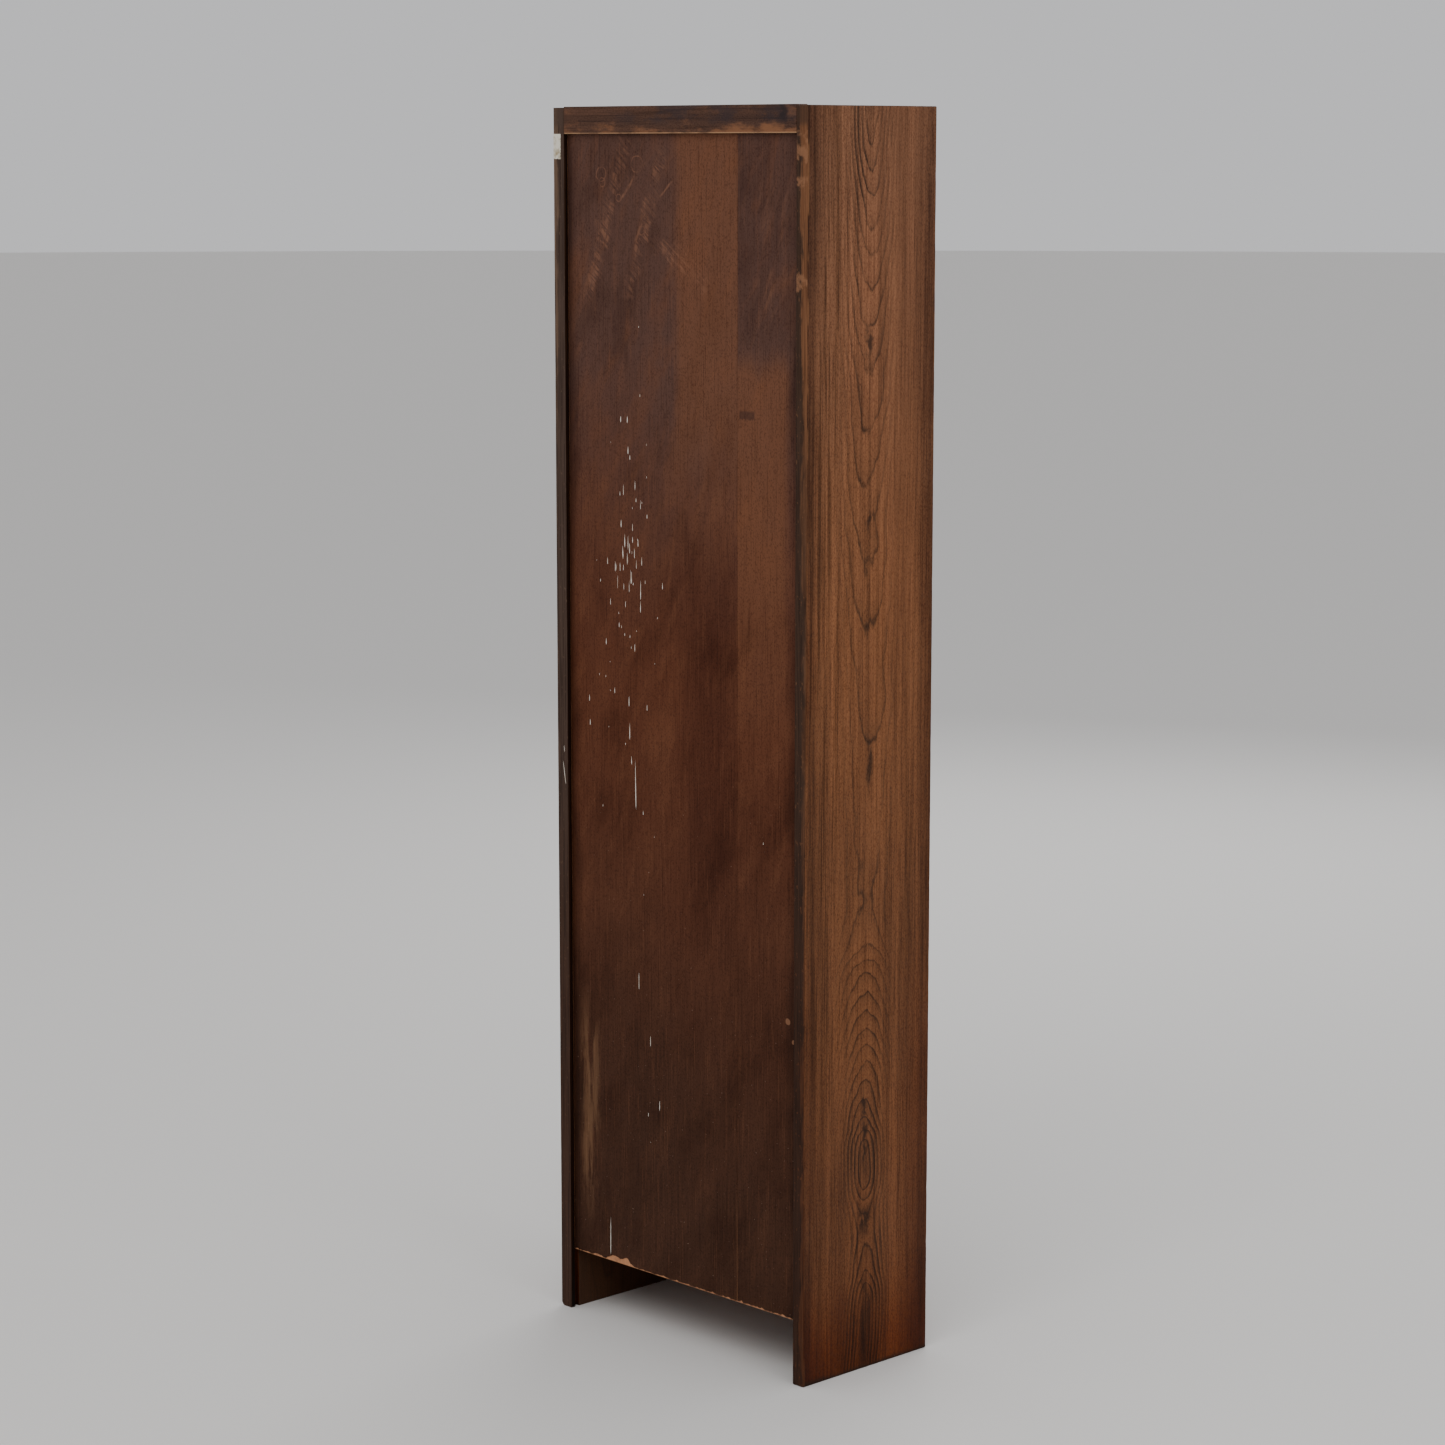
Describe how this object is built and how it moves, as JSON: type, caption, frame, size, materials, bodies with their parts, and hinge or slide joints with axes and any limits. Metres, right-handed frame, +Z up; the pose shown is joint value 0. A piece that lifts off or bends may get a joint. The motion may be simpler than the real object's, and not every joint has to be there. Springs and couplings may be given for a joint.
{
  "type": "barrister bookcase",
  "caption": "Tall, slim oak bookcase whose glazed doors each lift and slide back over the books, with a recessed veneered back panel.",
  "frame": {"origin": "on the floor, at the middle of the case's width and of the whole depth with the knobs", "axes": "+Z up, -Y towards the viewer of the doors, +X to that viewer's right"},
  "size_m": [0.403, 0.2134, 1.397],
  "materials": {
    "side_oak": "oiled oak, satin, worn on its arrises",
    "shelf_oak": "oiled oak, satin",
    "rail_oak": "dark stained oak, worn and dull",
    "block_oak": "bare oak, dull",
    "back_veneer": "old stained veneer, dull, scuffed, with paint drips",
    "door_oak": "oiled oak, satin",
    "glass": "clear",
    "brass": "aged, satin",
    "steel": "dull steel",
    "paper": "plain paper scrap, matt, stained"
  },
  "bodies": {
    "case": {"side_left": "side_oak", "side_right": "side_oak", "top_board": "shelf_oak", "bottom_shelf": "shelf_oak", "shelf_1": "shelf_oak", "shelf_2": "shelf_oak", "shelf_3": "shelf_oak", "shelf_4": "shelf_oak", "shelf_5": "shelf_oak", "back_panel": "back_veneer", "back_rail": "rail_oak", "plinth": "shelf_oak", "glue_blocks": "block_oak", "panel_pins": "steel", "door_stops": "shelf_oak", "groove_plugs": "rail_oak", "paper_scrap": "paper"},
    "shoes_1": {"door_1_shoes": "brass"},
    "door_1": {"door_1_stiles": "door_oak", "door_1_rails": "door_oak", "door_1_glass": "glass", "door_1_beads": "door_oak", "door_1_knob": "brass", "door_1_pins": "steel"},
    "shoes_2": {"door_2_shoes": "brass"},
    "door_2": {"door_2_stiles": "door_oak", "door_2_rails": "door_oak", "door_2_glass": "glass", "door_2_beads": "door_oak", "door_2_knob": "brass", "door_2_pins": "steel"},
    "shoes_3": {"door_3_shoes": "brass"},
    "door_3": {"door_3_stiles": "door_oak", "door_3_rails": "door_oak", "door_3_glass": "glass", "door_3_beads": "door_oak", "door_3_knob": "brass", "door_3_pins": "steel"},
    "shoes_4": {"door_4_shoes": "brass"},
    "door_4": {"door_4_stiles": "door_oak", "door_4_rails": "door_oak", "door_4_glass": "glass", "door_4_beads": "door_oak", "door_4_knob": "brass", "door_4_pins": "steel"},
    "shoes_5": {"door_5_shoes": "brass"},
    "door_5": {"door_5_stiles": "door_oak", "door_5_rails": "door_oak", "door_5_glass": "glass", "door_5_beads": "door_oak", "door_5_knob": "brass", "door_5_pins": "steel"},
    "shoes_6": {"door_6_shoes": "brass"},
    "door_6": {"door_6_stiles": "door_oak", "door_6_rails": "door_oak", "door_6_glass": "glass", "door_6_beads": "door_oak", "door_6_knob": "brass", "door_6_pins": "steel"}
  },
  "joints": [
    {"name": "door_1_slide", "type": "slide", "parent": "case", "child": "shoes_1", "axis": [0, 1, 0], "range_m": [0, 0.15]},
    {"name": "door_1_tilt", "type": "hinge", "parent": "shoes_1", "child": "door_1", "pos_m": [0, -0.08065, 0.2805], "axis": [-1, 0, 0], "range_deg": [0, 90]},
    {"name": "door_2_slide", "type": "slide", "parent": "case", "child": "shoes_2", "axis": [0, 1, 0], "range_m": [0, 0.15]},
    {"name": "door_2_tilt", "type": "hinge", "parent": "shoes_2", "child": "door_2", "pos_m": [0, -0.08065, 0.498], "axis": [-1, 0, 0], "range_deg": [0, 90]},
    {"name": "door_3_slide", "type": "slide", "parent": "case", "child": "shoes_3", "axis": [0, 1, 0], "range_m": [0, 0.15]},
    {"name": "door_3_tilt", "type": "hinge", "parent": "shoes_3", "child": "door_3", "pos_m": [0, -0.08065, 0.7155], "axis": [-1, 0, 0], "range_deg": [0, 90]},
    {"name": "door_4_slide", "type": "slide", "parent": "case", "child": "shoes_4", "axis": [0, 1, 0], "range_m": [0, 0.15]},
    {"name": "door_4_tilt", "type": "hinge", "parent": "shoes_4", "child": "door_4", "pos_m": [0, -0.08065, 0.933], "axis": [-1, 0, 0], "range_deg": [0, 90]},
    {"name": "door_5_slide", "type": "slide", "parent": "case", "child": "shoes_5", "axis": [0, 1, 0], "range_m": [0, 0.15]},
    {"name": "door_5_tilt", "type": "hinge", "parent": "shoes_5", "child": "door_5", "pos_m": [0, -0.08065, 1.1505], "axis": [-1, 0, 0], "range_deg": [0, 90]},
    {"name": "door_6_slide", "type": "slide", "parent": "case", "child": "shoes_6", "axis": [0, 1, 0], "range_m": [0, 0.15]},
    {"name": "door_6_tilt", "type": "hinge", "parent": "shoes_6", "child": "door_6", "pos_m": [0, -0.08065, 1.368], "axis": [-1, 0, 0], "range_deg": [0, 90]}
  ],
  "couplings": [
    {"joint": "door_1_slide", "follows": "door_1_tilt", "m_per_rad": 0.09549},
    {"joint": "door_2_slide", "follows": "door_2_tilt", "m_per_rad": 0.09549},
    {"joint": "door_3_slide", "follows": "door_3_tilt", "m_per_rad": 0.09549},
    {"joint": "door_4_slide", "follows": "door_4_tilt", "m_per_rad": 0.09549},
    {"joint": "door_5_slide", "follows": "door_5_tilt", "m_per_rad": 0.09549},
    {"joint": "door_6_slide", "follows": "door_6_tilt", "m_per_rad": 0.09549}
  ]
}
